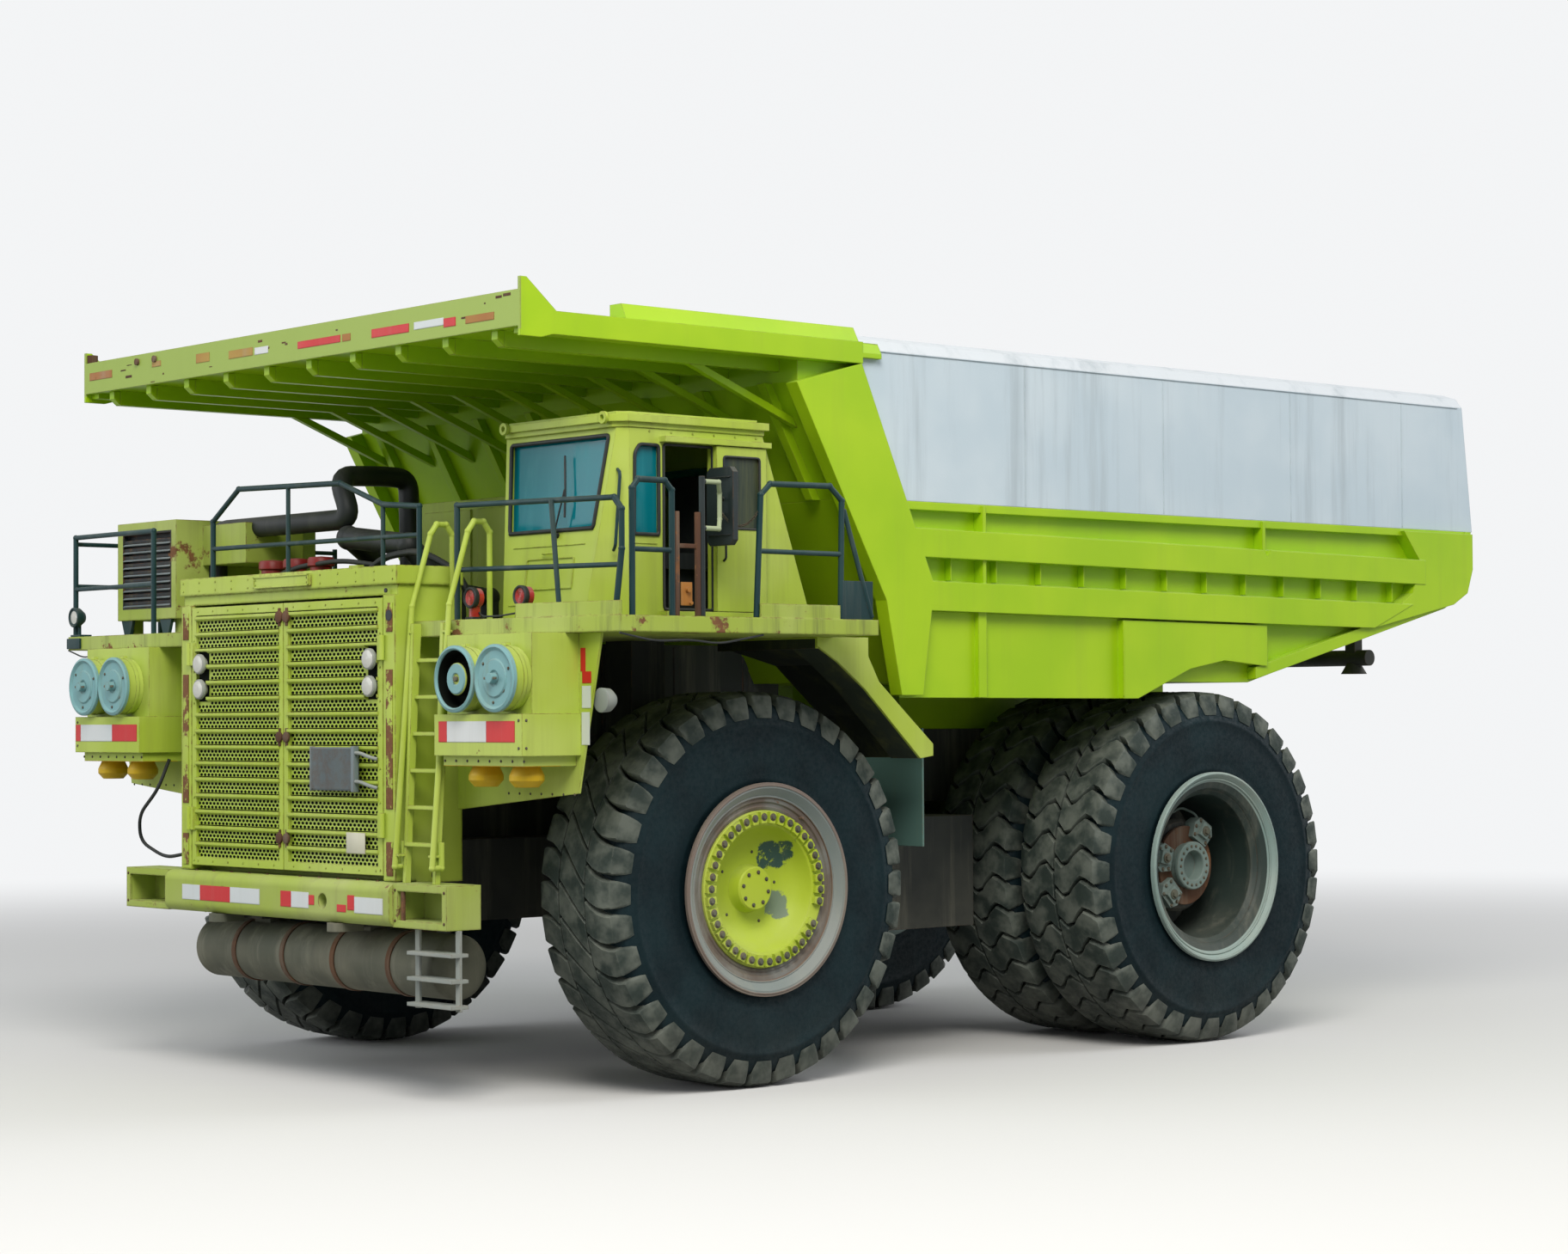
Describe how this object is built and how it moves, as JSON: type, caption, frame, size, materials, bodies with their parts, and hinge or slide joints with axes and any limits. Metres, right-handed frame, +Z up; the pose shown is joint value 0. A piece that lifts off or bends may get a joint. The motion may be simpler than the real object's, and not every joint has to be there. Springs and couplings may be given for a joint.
{
  "type": "mining water truck",
  "caption": "Rigid two-axle mining haul truck with a closed water tank body, canopy, offset cab on a wide deck, steered front wheels and rear twin wheels.",
  "frame": {"origin": "middle of the bounding box on the ground", "axes": "+X forward, +Y to the left, +Z up"},
  "size_m": [12.11, 7.8, 6.35],
  "materials": {
    "lime_paint": "worn paint",
    "pale_paint": "faded, dusty paint",
    "dark_steel": "oily and dusty",
    "rail_paint": "chipped paint",
    "worn_steel": "worn paint with rust",
    "rubber": "dusty",
    "tank_paint": "streaked paint",
    "cleaner_paint": "chalky paint",
    "glass": "tinted",
    "lamp_glass": "clear lens",
    "red_paint": "faded"
  },
  "bodies": {
    "chassis": {"frame": "dark_steel", "front_bumper": "lime_paint", "bumper_ladder": "worn_steel", "tow_eyes": "worn_steel", "engine": "dark_steel", "radiator_housing": "pale_paint", "radiator_core": "dark_steel", "air_cleaners": "cleaner_paint", "air_cleaner_boxes": "pale_paint", "deck_left": "pale_paint", "deck_right": "pale_paint", "deck_lamps": "red_paint", "hand_rails_left": "rail_paint", "hand_rails_front": "rail_paint", "hand_rails_right": "rail_paint", "boarding_ladder": "pale_paint", "mudguards": "pale_paint", "cab_shell": "pale_paint", "cab_roof": "pale_paint", "cab_glass": "glass", "cab_inside": "dark_steel", "mirror_left": "rail_paint", "control_cabinet": "pale_paint", "grid_box": "pale_paint", "intake_pipes": "dark_steel", "air_tank": "worn_steel", "fuel_tank": "dark_steel", "oil_tank": "dark_steel", "front_struts": "worn_steel", "rear_axle": "dark_steel", "rear_struts": "worn_steel", "wheel_motors": "dark_steel", "body_floor": "lime_paint", "body_sides": "lime_paint", "tank": "tank_paint", "canopy": "lime_paint", "spray_bar": "dark_steel"},
    "knuckle_left": {"knuckle_left": "dark_steel"},
    "knuckle_right": {"knuckle_right": "dark_steel"},
    "wheel_front_left": {"rim_front_left": "worn_steel", "tyre_front_left": "rubber"},
    "wheel_front_right": {"rim_front_right": "worn_steel", "tyre_front_right": "rubber"},
    "wheels_rear_left": {"rim_rear_left": "worn_steel", "tyres_rear_left": "rubber"},
    "wheels_rear_right": {"rim_rear_right": "worn_steel", "tyres_rear_right": "rubber"},
    "cab_door": {"cab_door": "pale_paint"},
    "grille_door_left": {"grille_door_left": "pale_paint", "headlamps_left": "lamp_glass"},
    "grille_door_right": {"grille_door_right": "pale_paint", "headlamps_right": "lamp_glass"},
    "filler_lid": {"filler_lid": "red_paint"}
  },
  "joints": [
    {"name": "steer_left", "type": "hinge", "parent": "chassis", "child": "knuckle_left", "pos_m": [3.275, 1.85, 1.5], "axis": [0, 0, 1], "range_deg": [-38, 38]},
    {"name": "spin_front_left", "type": "hinge", "parent": "knuckle_left", "child": "wheel_front_left", "pos_m": [3.275, 2.6, 1.60847], "axis": [0, 1, 0], "continuous": true},
    {"name": "spin_rear_left", "type": "hinge", "parent": "chassis", "child": "wheels_rear_left", "pos_m": [-2.035, 2.78, 1.60847], "axis": [0, 1, 0], "continuous": true},
    {"name": "grille_hinge_left", "type": "hinge", "parent": "chassis", "child": "grille_door_left", "pos_m": [5.8973, 1.468, 2.8], "axis": [0, 0, 1], "range_deg": [0, 100]},
    {"name": "steer_right", "type": "hinge", "parent": "chassis", "child": "knuckle_right", "pos_m": [3.275, -1.85, 1.5], "axis": [0, 0, 1], "range_deg": [-38, 38]},
    {"name": "spin_front_right", "type": "hinge", "parent": "knuckle_right", "child": "wheel_front_right", "pos_m": [3.275, -2.6, 1.60847], "axis": [0, 1, 0], "continuous": true},
    {"name": "spin_rear_right", "type": "hinge", "parent": "chassis", "child": "wheels_rear_right", "pos_m": [-2.035, -2.78, 1.60847], "axis": [0, 1, 0], "continuous": true},
    {"name": "grille_hinge_right", "type": "hinge", "parent": "chassis", "child": "grille_door_right", "pos_m": [5.8973, -1.468, 2.8], "axis": [0, 0, -1], "range_deg": [0, 100]},
    {"name": "door_slide", "type": "slide", "parent": "chassis", "child": "cab_door", "axis": [1, 0, 0], "range_m": [0, 0.505]},
    {"name": "lid_hinge", "type": "hinge", "parent": "chassis", "child": "filler_lid", "pos_m": [1.125, 1.5, 6.232], "axis": [0, -1, 0], "range_deg": [0, 100]}
  ],
  "couplings": [
    {"joint": "steer_right", "follows": "steer_left", "ratio": 1}
  ]
}
